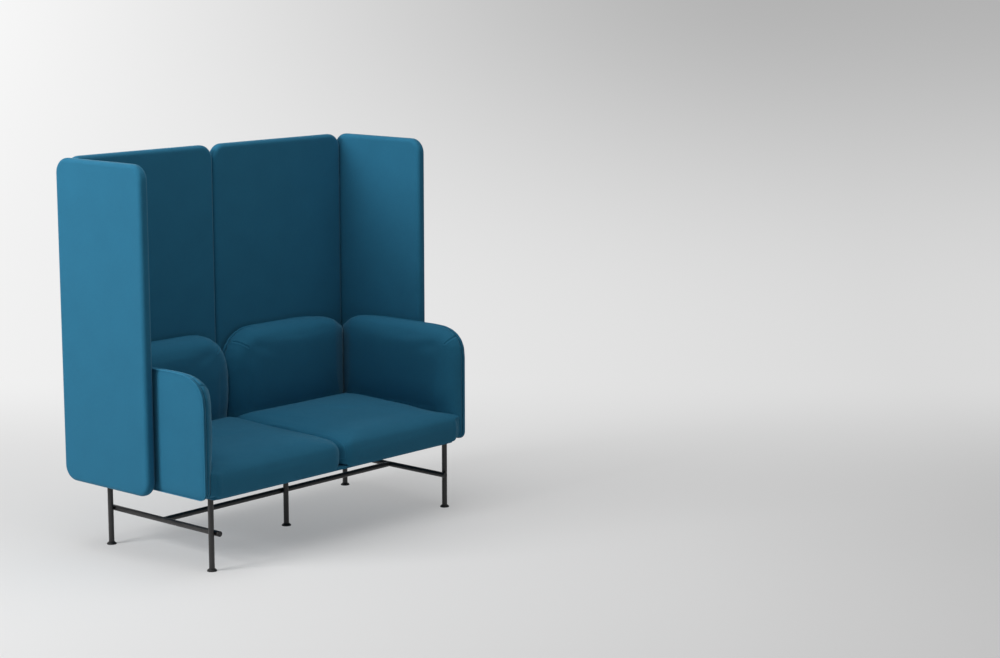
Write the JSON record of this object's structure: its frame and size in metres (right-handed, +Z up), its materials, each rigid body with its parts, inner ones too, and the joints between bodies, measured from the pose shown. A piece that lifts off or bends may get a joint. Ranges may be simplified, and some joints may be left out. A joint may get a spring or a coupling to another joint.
{
  "type": "high-back sofa",
  "caption": "High-back sofa with seat cushions between padded arms, tall padded screens round the back and sides, and a frame of thin round tube.",
  "frame": {"origin": "on the floor, under the middle of the sofa's outer box", "axes": "+X to the right as seen from the front, +Y to the rear, +Z up; the seats face -Y"},
  "size_m": [1.414, 0.716, 1.4],
  "materials": {
    "fabric": "plain fine weave in petrol blue",
    "black_steel": "satin black powder coat",
    "plastic": "matt black",
    "zinc_steel": "zinc plated",
    "wood": "bare softwood and board",
    "webbing": "woven elastic strap"
  },
  "bodies": {
    "sofa": {"leg_front_left": "black_steel", "leg_front_right": "black_steel", "leg_rear_left": "black_steel", "leg_rear_right": "black_steel", "leg_middle": "black_steel", "leg_plates": "black_steel", "leg_plate_screws": "zinc_steel", "leg_inserts": "plastic", "side_rail_left": "black_steel", "side_rail_right": "black_steel", "long_rail": "black_steel", "long_rail_plugs": "plastic", "rail_end_plugs": "plastic", "frame_pins": "zinc_steel", "seat_base_panel": "fabric", "seat_bearer_front": "wood", "seat_bearer_rear": "wood", "seat_cross_rails": "wood", "seat_webbing": "webbing", "seat_cushion_left": "fabric", "seat_cushion_right": "fabric", "arm_board_left": "fabric", "arm_board_right": "fabric", "arm_pad_left": "fabric", "arm_pad_right": "fabric", "corner_brackets": "black_steel", "back_board_left": "fabric", "back_board_right": "fabric", "back_pad_left": "fabric", "back_pad_right": "fabric", "angle_brackets": "black_steel", "bracket_screws": "zinc_steel", "side_screen_left": "fabric", "side_screen_right": "fabric", "rear_screen_left": "fabric", "rear_screen_right": "fabric", "side_screen_board_left": "wood", "side_screen_board_right": "wood", "rear_screen_board_left": "wood", "rear_screen_board_right": "wood", "screen_spacers": "plastic", "screen_bolts": "zinc_steel", "screen_dowels": "wood"},
    "foot_front_left": {"foot_glide_front_left": "plastic"},
    "foot_front_right": {"foot_glide_front_right": "plastic"},
    "foot_rear_left": {"foot_glide_rear_left": "plastic"},
    "foot_rear_right": {"foot_glide_rear_right": "plastic"},
    "foot_middle": {"foot_glide_middle": "plastic"}
  },
  "joints": [
    {"name": "foot_front_left_level", "type": "slide", "parent": "sofa", "child": "foot_front_left", "axis": [0, 0, -1], "range_m": [0, 0.01]},
    {"name": "foot_front_right_level", "type": "slide", "parent": "sofa", "child": "foot_front_right", "axis": [0, 0, -1], "range_m": [0, 0.01]},
    {"name": "foot_rear_left_level", "type": "slide", "parent": "sofa", "child": "foot_rear_left", "axis": [0, 0, -1], "range_m": [0, 0.01]},
    {"name": "foot_rear_right_level", "type": "slide", "parent": "sofa", "child": "foot_rear_right", "axis": [0, 0, -1], "range_m": [0, 0.01]},
    {"name": "foot_middle_level", "type": "slide", "parent": "sofa", "child": "foot_middle", "axis": [0, 0, -1], "range_m": [0, 0.01]}
  ]
}
